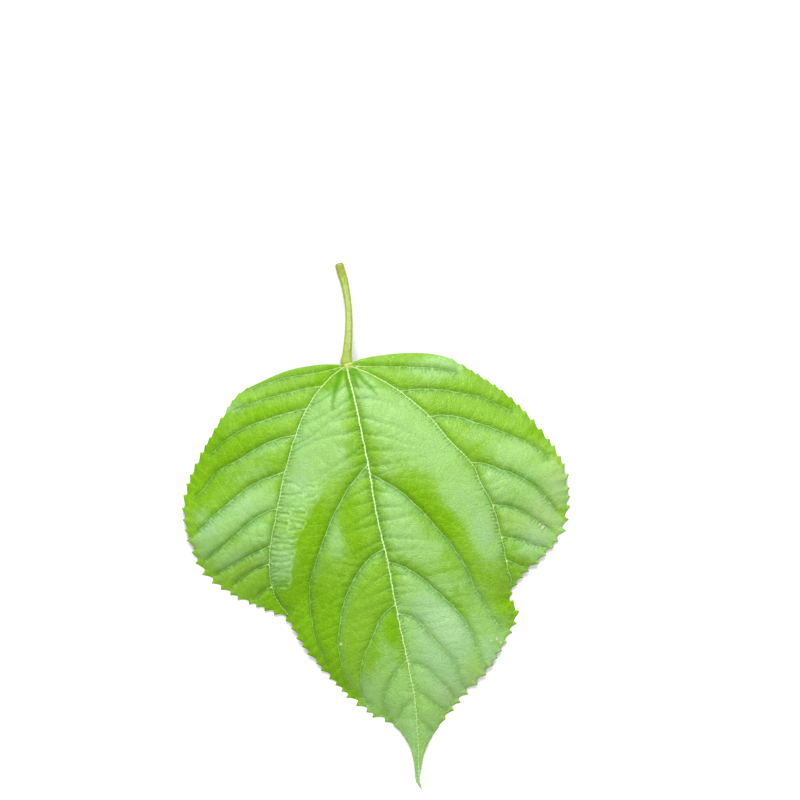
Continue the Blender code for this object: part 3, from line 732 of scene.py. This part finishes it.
class Relief:
    """Heights of the blade's two faces, and what its materials read, at points in its plane."""

    def __init__(self, points, margin, veins, ladder, pleats):
        self.points = points
        self.veins = veins
        closed = np.vstack([margin, margin[:1]])
        dense_edge = tree_of(along(closed, EDGE_SAMPLE_STEP))
        self.to_edge = np.array([dense_edge.find((*p, 0))[2] for p in points])
        measured = np.array([nearest(points, vein.line) for vein in veins])
        away, share, side = measured.transpose(1, 0, 2)
        self.limits = {
            vein.name: (vein.line, np.clip(a * s / SIDE_BLEND, -1, 1))
            for vein, a, s in zip(veins, away, side)
        }
        for name, (blend, px) in FOLDS_PX.items():
            fold = along(to_leaf(px), LINE_STEP)
            gap, _, fold_side = nearest(points, fold)
            self.limits[name] = (fold, np.clip(gap * fold_side / blend, -1, 1))
        half = np.array([
            vein.half_width * (1 - (1 - VEIN_TAPER) * s) for vein, s in zip(veins, share)
        ])
        self.vein_edge = (away - half).min(0)
        blended = -PILLOW_BLEND * np.log(np.exp(-away / PILLOW_BLEND).sum(0))
        self.pillow = 1 - np.exp(-np.clip(blended, 0, None) / PILLOW_REACH)
        taper = 1 - RIB_TAPER * np.clip(-points[:, 1] / BLADE_LENGTH, 0, 1)
        strength = np.array([vein.strength for vein in veins])[:, None]
        profile = np.exp(-((away / (RIB_WIDENING * half)) ** 2))
        self.rib = (RIB_DEPTH * strength * profile * taper * (1 - RIB_FALL * share)).max(0)
        self.rise = (VEIN_RISE * strength * np.exp(-((away / half) ** 2))).max(0)
        self.to_rung = self.to_lines(points, ladder.rungs)
        self.to_link = self.to_lines(points, ladder.links)
        self.to_wave = self.to_lines(points, ladder.waves)
        to_main = np.minimum(away[0], away[1])
        self.from_joint = np.hypot(*points.T)
        self.to_bar = self.to_lines(points, ladder.bars)
        self.barred = np.minimum(1, 2 * self.patches(BAR_FIELD))
        self.wave = np.maximum(
            np.exp(-((self.to_wave / WAVE_WIDTH) ** 2) - to_main / WAVE_REACH)
            * (1 - WAVE_FALL * ramp(self.from_joint, *WAVE_FALL_SPAN)),
            np.exp(-((self.to_bar / BAR_WIDTH) ** 2)) * self.barred * BAR_DEPTH_SHARE,
        )
        self.to_vein = away.min(0)
        closest, rows = away.argmin(0), np.arange(len(points))
        lengths = np.array([vein.length for vein in veins])
        self.vein_run = (share * lengths[:, None])[closest, rows] + VEIN_SHIFT * closest
        self.vein_run += SIDE_SHIFT * side[closest, rows]
        self.rank = strength[closest, 0]
        back = np.array([sum(vein.ladder) for vein in veins])
        self.tip_side = np.where(back[closest] == 0, 1, side[closest, rows] * back[closest])
        self.groove = np.exp(-np.clip(self.vein_edge, 0, None) / GROOVE_REACH)
        finest = np.minimum(np.minimum(self.to_rung, self.to_link + LINK_LESS), self.to_vein)
        self.inner = ramp(self.to_edge, 0, MARGIN_FADE)
        self.small_pillow = (1 - np.exp(-finest / LADDER_REACH)) * self.inner
        puffed = np.minimum(self.patches(PUFFED_PATCHES), 1)
        self.small_pillow *= LADDER_PILLOW + PUFFED_PILLOW * puffed
        self.pleat = np.zeros(len(points))
        for line in pleats:
            gap, along_pleat, _ = nearest(points, line)
            depth = np.exp(-((gap / PLEAT_REACH) ** 2)) * (1 - along_pleat) ** PLEAT_FALL
            self.pleat = np.maximum(self.pleat, depth)
        # Where colour stands in for light: painted sheen, painted shade and painted light
        self.pale = self.patches(PAINTED_SHEEN_PATCHES)
        self.deep = self.patches(DEEP_SHADE_PATCHES)
        self.painted_light = self.patches(PAINTED_LIGHT_PATCHES)
        self.base = np.exp(-((self.from_joint / BASE_REACH) ** 2))
        self.middle = self.middle_height(points, away[0])

    def patches(self, listed):
        """Soft round patches added up, none of them spread over the veins and folds that limit it."""
        total = np.zeros(len(self.points))
        for limits, rows in listed.items():
            for x, y, across, down, strength in rows:
                centre = to_leaf([(x, y)])
                away = (self.points - centre[0]) / PIXEL / (across, down)
                weight = strength * np.exp(-(away**2).sum(1))
                for name in limits.split():
                    line, side = self.limits[name]
                    weight *= 0.5 + 0.5 * side * nearest(centre, line)[2]
                total += weight
        return np.clip(total, 0, PATCH_MOST)

    def to_lines(self, points, lines):
        tree = tree_of(np.vstack([along(line, CROSS_SAMPLE_STEP) for line in lines]))
        return np.array([tree.find((*p, 0))[2] for p in points])

    def middle_height(self, points, to_midrib):
        along_leaf = -points[:, 1] / BLADE_LENGTH
        fall = np.clip((along_leaf - PEAK_AT) / (TOUCHDOWN_AT - PEAK_AT), 0, 1)
        rise = np.clip((PEAK_AT - along_leaf) / PEAK_AT, 0, 1.2)
        spine = ARCH_HEIGHT * (1 - fall**2 - JOINT_DROP * rise**2)
        at_joint = ARCH_HEIGHT * (1 - JOINT_DROP)
        low = LOW_EDGE + (at_joint - LOW_EDGE) * np.exp(-((self.from_joint / JOINT_REACH) ** 2))
        inward = self.to_edge / (self.to_edge + to_midrib + 1e-6)
        height = low + (spine - low) * (1 - (1 - inward) ** 2)
        phase = 2 * math.pi * (points[:, 1] + EDGE_WAVE_SLANT * points[:, 0]) / EDGE_WAVE_LENGTH
        height += EDGE_WAVE * np.sin(phase) * (1 - inward) ** 2 * ramp(self.from_joint, 0, JOINT_REACH)
        quilting = PILLOW_HEIGHT * (1 - PILLOW_FALL * ramp(along_leaf, *PILLOW_FALL_SPAN))
        return height + quilting * self.pillow * ramp(self.to_edge, *PILLOW_EDGE_SPAN)

    def top(self):
        fine = self.small_pillow + self.rise - PLEAT_DEPTH * self.pleat + BASE_RISE * self.base
        fine -= GROOVE_DEPTH * self.groove + WAVE_DEPTH * self.wave
        return np.maximum(self.middle + THICKNESS / 2 + fine, THICKNESS)

    def bottom(self):
        fine = self.small_pillow - PLEAT_DEPTH * self.pleat - WAVE_DEPTH * self.wave
        ladder = LADDER_RIB * np.exp(-((self.to_rung / LADDER_RIB_WIDTH) ** 2)) * self.inner
        below = np.maximum(np.maximum(self.rib, BASE_DEPTH * self.base), ladder)
        return np.maximum(self.middle - THICKNESS / 2 + fine - below, 0)


def field(margin, step):
    low, high = margin.min(0), margin.max(0)
    rows = np.arange(low[1], high[1], step * math.sqrt(3) / 2)
    draw = np.random.default_rng(FIELD_SEED)
    grid = np.array([
        (x + (number % 2) * step / 2, y)
        for number, y in enumerate(rows)
        for x in np.arange(low[0], high[0], step)
    ])
    grid += draw.uniform(-FIELD_JITTER, FIELD_JITTER, grid.shape) * step
    return grid[inside(grid, margin)]


def store(mesh, name, values):
    layer = mesh.attributes.new(name, "FLOAT", "POINT")
    layer.data.foreach_set("value", np.asarray(values, np.float32))


def make_blade(margin, veins, ladder, pleats):
    beside = []
    for vein in veins:
        ahead = headings(vein.dense)
        aside = np.column_stack([ahead[:, 1], -ahead[:, 0]])
        taper = np.linspace(1, VEIN_TAPER, len(vein.dense))[:, None]
        for row in MAIN_BESIDE if vein.half_width > SIDE_HALF_WIDTH else SIDE_BESIDE:
            offset = aside * vein.half_width * taper * row
            beside += [vein.dense + offset, vein.dense - offset]
    beside = np.vstack(beside)
    beside = beside[inside(beside, margin)]
    lines = [vein.dense for vein in veins] + ladder.rungs + ladder.links + pleats
    edges, on_lines = [], []
    for line in lines:
        first = len(margin) + len(on_lines)
        edges += [(first + k, first + k + 1) for k in range(len(line) - 1)]
        on_lines += list(line)
    fixed = np.vstack([margin, on_lines])
    placed = spaced([
        (fixed, 0),
        (beside, BESIDE_GAP),
        (field(margin, FIELD_STEP), FIELD_GAP),
    ])
    flat, _, faces, *_ = delaunay_2d_cdt(
        [Vector(p) for p in placed], edges, [list(range(len(margin)))], 1, 1e-6
    )
    mesh = bpy.data.meshes.new("blade")
    mesh.from_pydata([(*p, 0) for p in flat], [], faces)
    sheet = bmesh.new()
    sheet.from_mesh(mesh)
    made = bmesh.ops.extrude_face_region(sheet, geom=sheet.faces[:])
    upper = {v for v in made["geom"] if isinstance(v, bmesh.types.BMVert)}
    raised = [f for f in made["geom"] if isinstance(f, bmesh.types.BMFace)]
    for face in sheet.faces:
        face.material_index = 1
        face.smooth = True
    for face in raised:
        face.material_index = 0
    bmesh.ops.recalc_face_normals(sheet, faces=sheet.faces[:])
    sheet.verts.index_update()
    is_top = np.array([v in upper for v in sheet.verts])
    place = np.array([v.co.xy for v in sheet.verts])
    relief = Relief(place, margin, veins, ladder, pleats)
    height = np.where(is_top, relief.top(), relief.bottom())
    for v, z in zip(sheet.verts, height):
        v.co.z = z
    sheet.to_mesh(mesh)
    sheet.free()
    for name in ("vein_edge", "to_rung", "to_link", "to_edge", "from_joint", "to_vein", "vein_run", "to_wave",
                 "to_bar"):
        store(mesh, name, getattr(relief, name) / MM)
    for name in ("pale", "deep", "painted_light", "rank", "pleat", "tip_side", "wave", "barred"):
        store(mesh, name, getattr(relief, name))
    return mesh


def make_margin():
    left = toothed(along(to_leaf(LEFT_MARGIN_PX), EDGE_STEP), -1)
    right = toothed(along(to_leaf(RIGHT_MARGIN_PX), EDGE_STEP), 1)
    return np.vstack([left, right[-2::-1]])[::-1]


def make_stalk():
    """The grooved stalk, with the rough scar where it came off the shoot."""
    corner = 2 * math.pi / STALK_SIDES
    rest_height = STALK_RADIUS * STALK_ROUTE[-1][3]
    route = along(np.array(STALK_ROUTE), STALK_STEP)
    swellings = np.minimum(route[:, 3], STALK_ROUTE[-1][3])
    route = np.maximum(route[:, :3], (-1, 0, 0)) + (0, STALK_GAP, rest_height)
    route[0, 1] -= FLARE_SINK
    ahead = headings(route)
    ahead[0] = (0, 1, 0)
    solid = bmesh.new()
    rings, shares = [], []
    count = len(route)
    for row, (place, way, swelling) in enumerate(zip(route, ahead, swellings)):
        forward = Vector(way).normalized()
        across = forward.cross(Vector((0, 0, 1))).normalized()
        up = across.cross(forward)
        from_end = (count - 1 - row) * STALK_STEP
        rounding = math.sqrt(max(0.0, 1 - (1 - min(from_end / STALK_END_ROUNDING, 1)) ** 2))
        closing = STALK_END_SHARE + (1 - STALK_END_SHARE) * rounding
        deep = STALK_GROOVE * min(1, from_end / STALK_GROOVE_RUN_OUT + STALK_GROOVE_AT_END)
        ring = []
        for number in range(STALK_SIDES):
            angle = (number + 0.5) * corner
            from_top = abs(angle - math.pi / 2) / STALK_GROOVE_HALF_ANGLE
            groove = deep * (0.5 + 0.5 * math.cos(math.pi * min(1, from_top)))
            grain = sum(high * math.sin(many * angle + turn * row) for high, many, turn in STALK_WAVES)
            radius = STALK_RADIUS * swelling * closing * (1 - groove + grain - STALK_SET_IN)
            flare = 1 + FLARE * math.exp(-((max(place[1], 0) / FLARE_REACH) ** 2))
            offset = across * math.cos(angle) * flare + up * math.sin(angle)
            ring.append(solid.verts.new(Vector(place) + offset * radius))
        rings.append(ring)
        shares += [row / (count - 1)] * STALK_SIDES
    for near, far in zip(rings, rings[1:]):
        for k in range(STALK_SIDES):
            solid.faces.new((near[k - 1], near[k], far[k], far[k - 1]))
    for ring, hollow, down in ((rings[0], 0.0, 0.0), (rings[-1], STALK_SCAR_DEPTH, SCAR_DOWN_STALK)):
        centre = sum((v.co for v in ring), Vector()) / STALK_SIDES
        sunk = Vector((0, -hollow, 0))
        inner = [solid.verts.new(centre + (v.co - centre) * STALK_END_INNER + sunk) for v in ring]
        tip = solid.verts.new(centre + sunk * STALK_SCAR_MIDDLE)
        for k in range(STALK_SIDES):
            solid.faces.new((ring[k - 1], ring[k], inner[k], inner[k - 1]))
            solid.faces.new((inner[k - 1], inner[k], tip))
        shares += [down] * (STALK_SIDES + 1)
    bmesh.ops.recalc_face_normals(solid, faces=solid.faces[:])
    for face in solid.faces:
        face.smooth = True
    mesh = bpy.data.meshes.new("stalk")
    solid.to_mesh(mesh)
    solid.free()
    store(mesh, "down_stalk", shares)
    return mesh


class Nodes:
    """Short ways to build a node material, whose colour is laid on in layers."""

    def __init__(self, name, colour=None):
        self.colour = colour
        self.material = bpy.data.materials.new(name)
        self.material.use_nodes = True
        self.tree = self.material.node_tree
        self.shader = self.tree.nodes["Principled BSDF"]

    def link(self, value, socket):
        """Link or set a socket. A word stands for the mesh's attribute of that name."""
        if isinstance(value, str):
            value = self.attribute(value)
        if isinstance(value, bpy.types.NodeSocket):
            self.tree.links.new(value, socket)
        else:
            socket.default_value = value

    def attribute(self, name):
        node = self.tree.nodes.new("ShaderNodeAttribute")
        node.attribute_name = name
        return node.outputs["Fac"]

    def math(self, operation, a, b=0.0, c=0.0):
        node = self.tree.nodes.new("ShaderNodeMath")
        node.operation = operation
        self.link(a, node.inputs[0])
        self.link(b, node.inputs[1])
        self.link(c, node.inputs[2])
        return node.outputs[0]

    def times(self, value, *others):
        for other in others:
            value = self.math("MULTIPLY", value, other)
        return value

    def less(self, value, loss, whole=1.0):
        """The whole, less the loss where the value is 1."""
        return self.math("MULTIPLY_ADD", value, -loss, whole)

    def lay(self, share, colour):
        self.colour = self.mix(share, self.colour, colour)

    def span(self, value, low, high, out_low=0.0, out_high=1.0):
        node = self.tree.nodes.new("ShaderNodeMapRange")
        node.interpolation_type = "SMOOTHSTEP"
        for socket, given in zip(node.inputs, (value, low, high, out_low, out_high)):
            self.link(given, socket)
        return node.outputs[0]

    def mix(self, share, a, b):
        node = self.tree.nodes.new("ShaderNodeMix")
        node.data_type = "RGBA"
        self.link(share, node.inputs["Factor"])
        self.link((*a, 1) if isinstance(a, tuple) else a, node.inputs["A"])
        self.link((*b, 1) if isinstance(b, tuple) else b, node.inputs["B"])
        return node.outputs["Result"]

    def place(self):
        return self.tree.nodes.new("ShaderNodeTexCoord").outputs["Object"]

    def noise(self, scale, detail, roughness=0.5):
        node = self.tree.nodes.new("ShaderNodeTexNoise")
        self.link(self.place(), node.inputs["Vector"])
        node.inputs["Scale"].default_value = scale
        node.inputs["Detail"].default_value = detail
        node.inputs["Roughness"].default_value = roughness
        return node.outputs["Fac"]

    def bent_place(self, share, scale):
        """The place, mixed with a little noise."""
        node = self.tree.nodes.new("ShaderNodeTexNoise")
        self.link(self.place(), node.inputs["Vector"])
        node.inputs["Scale"].default_value = scale
        return self.mix(share, self.place(), node.outputs["Color"])

    def cells(self, scale, at=None):
        node = self.tree.nodes.new("ShaderNodeTexVoronoi")
        node.feature = "DISTANCE_TO_EDGE"
        self.link(at or self.place(), node.inputs["Vector"])
        node.inputs["Scale"].default_value = scale
        return node.outputs["Distance"]

    def white(self, value):
        node = self.tree.nodes.new("ShaderNodeTexWhiteNoise")
        node.noise_dimensions = "1D"
        self.link(value, node.inputs["W"])
        return node.outputs["Value"]

    def speck(self, place, radius):
        """1 within a ragged spot of the blade, seen from above, and 0 outside it."""
        flat = self.tree.nodes.new("ShaderNodeVectorMath")
        flat.operation = "MULTIPLY_ADD"
        self.link(self.place(), flat.inputs[0])
        flat.inputs[1].default_value = (1, 1, 0)
        flat.inputs[2].default_value = (-place[0], -place[1], 0)
        away = self.tree.nodes.new("ShaderNodeVectorMath")
        away.operation = "LENGTH"
        self.link(flat.outputs[0], away.inputs[0])
        ragged = self.math("MULTIPLY_ADD", self.noise(*SCAR_EDGE), -1.2 * radius, away.outputs["Value"])
        return self.span(ragged, -0.1 * radius, 0.35 * radius, 0.9, 0.0)

    def bump(self, height, distance, under=None):
        node = self.tree.nodes.new("ShaderNodeBump")
        node.inputs["Distance"].default_value = distance
        node.inputs["Strength"].default_value = 1.0
        self.link(height, node.inputs["Height"])
        if under is not None:
            self.link(under, node.inputs["Normal"])
        return node.outputs["Normal"]

    def finish(self, normal):
        self.link(self.colour, self.shader.inputs["Base Color"])
        self.link(normal, self.shader.inputs["Normal"])
        return self.material


class UpperFace(Nodes):
    """The blade's upper face, from its greens to the veins and scars that lie over them."""

    def __init__(self):
        super().__init__("blade_upper", GREEN_MID)
        self.tip_side = self.span("tip_side", *TIP_SIDE_FADE)
        self.joint_side = self.math("SUBTRACT", 1.0, self.tip_side)
        self.to_tip = self.span("from_joint", *TO_TIP_FADE)
        mottle = self.times(self.noise(*MOTTLE), MOTTLE_SHARE)
        blotch = self.math("MULTIPLY_ADD", self.noise(*BLOTCHES), BLOTCH_SHARE, mottle)
        self.uneven = self.math("SUBTRACT", blotch, UNEVEN_MIDDLE)
        # Painted sheen where the pale patches lie and painted shade where the deep ones lie; the grain is
        # less under the painted sheen
        self.pale = self.math("ADD", "pale", self.uneven)
        self.painted_sheen = self.span(self.pale, *PAINTED_SHEEN_FADE)
        self.deep = self.span(self.math("SUBTRACT", "deep", self.uneven), *DEEP_SHADE_FADE)
        self.smooth = self.less(self.painted_sheen, SHEEN_SMOOTHING)
        self.pleat = self.span("pleat", *PLEAT)
        bent = self.bent_place(NET_BEND, NET_BEND_SCALE)
        self.net = self.span(self.cells(NET_SCALE, bent), *NET_FADE)
        self.fine_net = self.span(self.cells(FINE_NET_SCALE, bent), *FINE_NET_FADE)


def lay_greens(n):
    painted_light = n.math("ADD", "painted_light", n.uneven)
    # Painted sheen in three steps of paleness
    n.lay(n.painted_sheen, GREEN_SHEEN_AND_MOTTLE)
    n.lay(n.span(n.pale, *SHEEN_HAZE_FADE), GREEN_SHEEN_HAZE)
    n.lay(n.span(n.pale, *SHEEN_GLOW_FADE), GREEN_SHEEN_GLOW)
    # Painted light that lifts places the relief leaves in shade
    n.lay(n.span(painted_light, *PAINTED_LIGHT_FADE), GREEN_PAINTED_LIGHT)
    # Painted shade where the blade faces away from the light
    n.lay(n.deep, GREEN_DEEP_SHADE)
    # A random grain of darker tone, less where the painted sheen lies
    n.lay(n.times(n.span(n.noise(*GRAIN), *GRAIN_FADE), n.smooth), GREEN_SHADE_AND_GRAIN)


def lay_bands(n):
    """Painted sheen, bluish and a little darkened, on each side vein's side towards the tip, and painted
    shade on the one towards the joint.
    """
    side_vein = n.span("rank", *SIDE_VEIN_FADE)
    sheen_band = n.times(n.span("to_vein", *SHEEN_BAND), n.times(n.tip_side, side_vein))
    sheen_band = n.times(sheen_band, n.less(n.deep, BAND_LOSS_IN_DEEP), n.span("to_edge", *BAND_EDGE_FADE))
    n.lay(n.times(sheen_band, n.to_tip), GREEN_SHEEN_BAND)
    painted_shade = n.times(n.span("to_vein", *PAINTED_SHADE_FADE), n.joint_side)
    painted_shade = n.times(painted_shade, n.span("from_joint", *DARK_TIP_FADE), n.span(n.pale, *DARK_PALE_FADE))
    n.lay(painted_shade, GREEN_SHADE_AND_GRAIN)


def lay_net(n):
    """The net of cross veins, links and the finest veins."""
    # Paler where the painted sheen lies
    colour = n.mix(n.painted_sheen, GREEN_NET, GREEN_NET_SHEEN)
    share = n.times(n.smooth, NET_SHARE)
    n.lay(n.times(n.net, share), colour)
    n.lay(n.times(n.fine_net, share), colour)
    n.lay(n.span("to_link", *LINK), colour)
    rung = n.times(n.span("to_rung", *RUNG_FADE), n.span("to_vein", *RUNG_VEIN_FADE))
    n.lay(rung, colour)


def lay_creases(n):
    """Painted shade in the creases beside the midrib and in the bars, painted highlights on the bars' light
    fringes, and painted shade in the pleats.
    """
    # Painted shade in the creases, lighter where the painted sheen lies
    colour = n.mix(n.painted_sheen, GREEN_SHADE_AND_GRAIN, GREEN_DUSK)
    n.lay(n.times("wave", WAVE_SHADE_SHARE), colour)
    crease_shade = n.times(n.span("to_wave", *CREASE_SHADE_FADE), "wave")
    n.lay(n.times(crease_shade, n.span(n.noise(*CREASE_BREAKS), *CREASE_BREAK_FADE)), colour)
    # Painted highlight on the puffed ends of the bars
    fringe_highlight = n.times(n.span("to_bar", *FRINGE_IN), "barred")
    fringe_highlight = n.times(fringe_highlight, n.span(n.noise(*FRINGE_BREAKS), *FRINGE_BREAK_FADE))
    n.lay(n.times(fringe_highlight, n.span("to_bar", *FRINGE_OUT)), GREEN_FRINGE_HIGHLIGHT)
    # Painted shade in the pleats
    n.lay(n.pleat, GREEN_FOLD_SHADE)


def lay_veins(n):
    """The veins, with combs of fine teeth and a groove beside them, both in painted shade, and the pale
    joint.
    """
    slanted = n.math("MULTIPLY_ADD", "to_vein", COMB_SLANT, "vein_run")
    row = n.math("ADD", n.noise(*COMB_UNEVEN), n.times(slanted, 1 / COMB_PITCH))
    shortest = COMB_SHORTEST * COMB_LENGTH
    reach = n.span(n.white(n.math("FLOOR", row)), 0.0, 1.0, shortest, COMB_LENGTH)
    from_row = n.math("PINGPONG", row, 0.5)
    outward = n.math("DIVIDE", "to_vein", reach)
    tooth = n.math("MULTIPLY_ADD", outward, COMB_NARROWING, COMB_START)
    comb = n.times(n.span(from_row, tooth, COMB_MIDDLE), n.span(outward, *COMB_TIP_FADE))
    comb = n.times(comb, n.span("rank", *COMB_RANK_FADE), n.span("vein_edge", *COMB_VEIN_FADE))
    comb = n.times(comb, n.math("MULTIPLY_ADD", n.tip_side, 1 - COMB_JOINT_SIDE, COMB_JOINT_SIDE))
    comb = n.times(comb, n.times(n.span("from_joint", *COMB_JOINT_FADE), n.to_tip))
    # Painted shade in the combs of fine puckers and in the groove beside the veins
    beside = n.mix(n.tip_side, GREEN_SHADE_AND_GRAIN, GREEN_DUSK)
    n.lay(n.times(comb, COMB_SHADE_SHARE), beside)
    main_vein = n.span("rank", *MAIN_VEIN_FADE)
    at_joint_side = n.times(n.joint_side, GROOVE_JOINT_SIDE)
    brink = n.math("MAXIMUM", at_joint_side, n.times(main_vein, GROOVE_MAIN))
    n.lay(n.times(n.span("vein_edge", *GROOVE_SHADE), n.times(brink, n.to_tip)), beside)
    barb = n.times(n.span(from_row, *BARB_ROW_FADE), n.span(outward, *BARB))
    barbed = n.math("SUBTRACT", "vein_edge", n.times(barb, main_vein))
    vein = n.times(n.span(barbed, *VEIN_FADE), n.span(n.to_tip, *VEIN_TIP_FADE))
    vein = n.times(vein, n.span("rank", *VEIN_RANK_FADE))
    n.lay(vein, n.mix(n.span("rank", *CREAM_FADE), VEIN_GREEN, VEIN_CREAM))
    n.lay(n.span("to_edge", *EDGE), GREEN_NET)
    fan = n.math("MULTIPLY_ADD", n.noise(*FAN_UNEVEN), JOINT_UNEVEN, "from_joint")
    n.lay(n.span(fan, *JOINT), JOINT_PALE)
    return comb


def upper_material(shift):
    n = UpperFace()
    lay_greens(n)
    lay_bands(n)
    lay_net(n)
    lay_creases(n)
    comb = lay_veins(n)
    for x, y, radius in SCARS_PX:
        n.lay(n.speck(to_leaf([(x, y)])[0] + shift, radius * PIXEL), SCAR)
    n.link(n.span(n.noise(*GLOSS_TEXTURE), *GLOSS), n.shader.inputs["Roughness"])
    shine = n.less(n.deep, SHINE_LOSS_IN_DEEP, SHINE)
    shine = n.math("MULTIPLY_ADD", n.pleat, n.times(shine, -SHINE_LOSS_IN_PLEAT), shine)
    n.link(shine, n.shader.inputs["Specular IOR Level"])
    fine = n.bump(comb, COMB_BUMP)
    fine = n.bump(n.net, NET_BUMP, fine)
    fine = n.bump(n.fine_net, FINE_NET_BUMP, fine)
    return n.finish(n.bump(n.noise(*SKIN), SKIN_BUMP, fine))


def lower_material():
    n = Nodes("blade_lower", UNDER_GREEN)
    n.lay(n.times(n.span(n.noise(*UNDER_MOTTLE), 0.3, 0.7), 0.3), GREEN_SHEEN_AND_MOTTLE)
    n.lay(n.span(n.cells(UNDER_NET_SCALE), 0.02, 0.14, 0.35, 0.0), UNDER_VEIN)
    n.lay(n.span("to_rung", 0.1, 0.4, 0.8, 0.0), UNDER_VEIN)
    n.lay(n.span("vein_edge", -0.1, 0.25, 1.0, 0.0), UNDER_VEIN)
    n.shader.inputs["Roughness"].default_value = 0.68
    n.shader.inputs["Specular IOR Level"].default_value = 0.35
    return n.finish(n.bump(n.span(n.cells(UNDER_NET_SCALE), 0.0, 0.16, 1.0, 0.0), 0.00008))


def stalk_material():
    n = Nodes("stalk", STALK_GREEN)
    n.lay(n.span(n.noise(*STREAKS), 0.35, 0.65), STALK_PALE)
    n.lay(n.span("down_stalk", 0.0, 0.12, 0.75, 0.0), STALK_PALE)
    n.lay(n.span("down_stalk", 0.82, 0.99, 0.0, 0.35), STALK_BROWN)
    n.lay(n.span("down_stalk", 1.0, 1.02), STALK_BROWN)
    n.shader.inputs["Roughness"].default_value = 0.45
    return n.finish(n.bump(n.noise(*STALK_SKIN), 0.00008))


def put_floor():
    bpy.ops.mesh.primitive_plane_add(size=FLOOR_SIZE)
    floor = bpy.context.object
    floor.name = "floor"
    n = Nodes("floor")
    n.shader.inputs["Base Color"].default_value = (*FLOOR_GREY, 1)
    n.shader.inputs["Roughness"].default_value = 0.9
    n.shader.inputs["Specular IOR Level"].default_value = 0.1
    floor.data.materials.append(n.material)


def put_lights():
    world = bpy.data.worlds.new("studio")
    bpy.context.scene.world = world
    world.use_nodes = True
    background = world.node_tree.nodes["Background"]
    background.inputs["Color"].default_value = (1, 1, 1, 1)
    background.inputs["Strength"].default_value = WORLD_STRENGTH
    for name, (azimuth, elevation, size, power, shines) in LAMPS.items():
        lamp = bpy.data.lights.new(name, "AREA")
        lamp.shape = "DISK"
        lamp.size = size
        lamp.energy = power
        holder = bpy.data.objects.new(name, lamp)
        bpy.context.scene.collection.objects.link(holder)
        holder.visible_glossy = shines
        a, e = math.radians(azimuth) - TURN, math.radians(elevation)
        way = Vector((math.cos(a) * math.cos(e), math.sin(a) * math.cos(e), math.sin(e)))
        holder.location = way * LAMP_DISTANCE
        holder.rotation_mode = "QUATERNION"
        holder.rotation_quaternion = way.to_track_quat("Z", "Y")


def put_camera(shift):
    """Straight above the leaf, framed and turned as the photograph is."""
    centre = to_leaf([(PHOTO_SIZE / 2, PHOTO_SIZE / 2)])[0] + shift
    camera = bpy.data.cameras.new("camera")
    camera.lens = LENS
    camera.sensor_width = SENSOR
    holder = bpy.data.objects.new("camera", camera)
    bpy.context.scene.collection.objects.link(holder)
    holder.location = (*centre, PHOTO_SIZE * PIXEL * LENS / SENSOR + CAMERA_FOCUS_HEIGHT)
    holder.rotation_euler = (0, 0, -TURN)
    camera.clip_start, camera.clip_end = CAMERA_CLIP
    bpy.context.scene.camera = holder


def add_piece(name, mesh, materials, node, shift):
    mesh.transform(Matrix.Translation((*shift, 0)))
    for material in materials:
        mesh.materials.append(material)
    piece = bpy.data.objects.new(name, mesh)
    bpy.context.scene.collection.objects.link(piece)
    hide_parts(node)
    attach(piece, "root")


def main():
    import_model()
    margin = make_margin()
    shift = np.array(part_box("leaf_blade")[0][:2]) - margin.min(0)
    veins = make_veins()
    ladder = Ladder(veins, margin)
    pleats = [along(to_leaf(px), VEIN_STEP) for px in PLEATS_PX]
    blade = make_blade(margin, veins, ladder, pleats)
    add_piece("blade", blade, (upper_material(shift), lower_material()), "leaf_blade", shift)
    add_piece("stalk", make_stalk(), (stalk_material(),), "petiole", shift)
    put_floor()
    put_camera(shift)
    put_lights()
    scene = bpy.context.scene
    scene.view_settings.view_transform = "Standard"
    scene.view_settings.look = "None"


main()
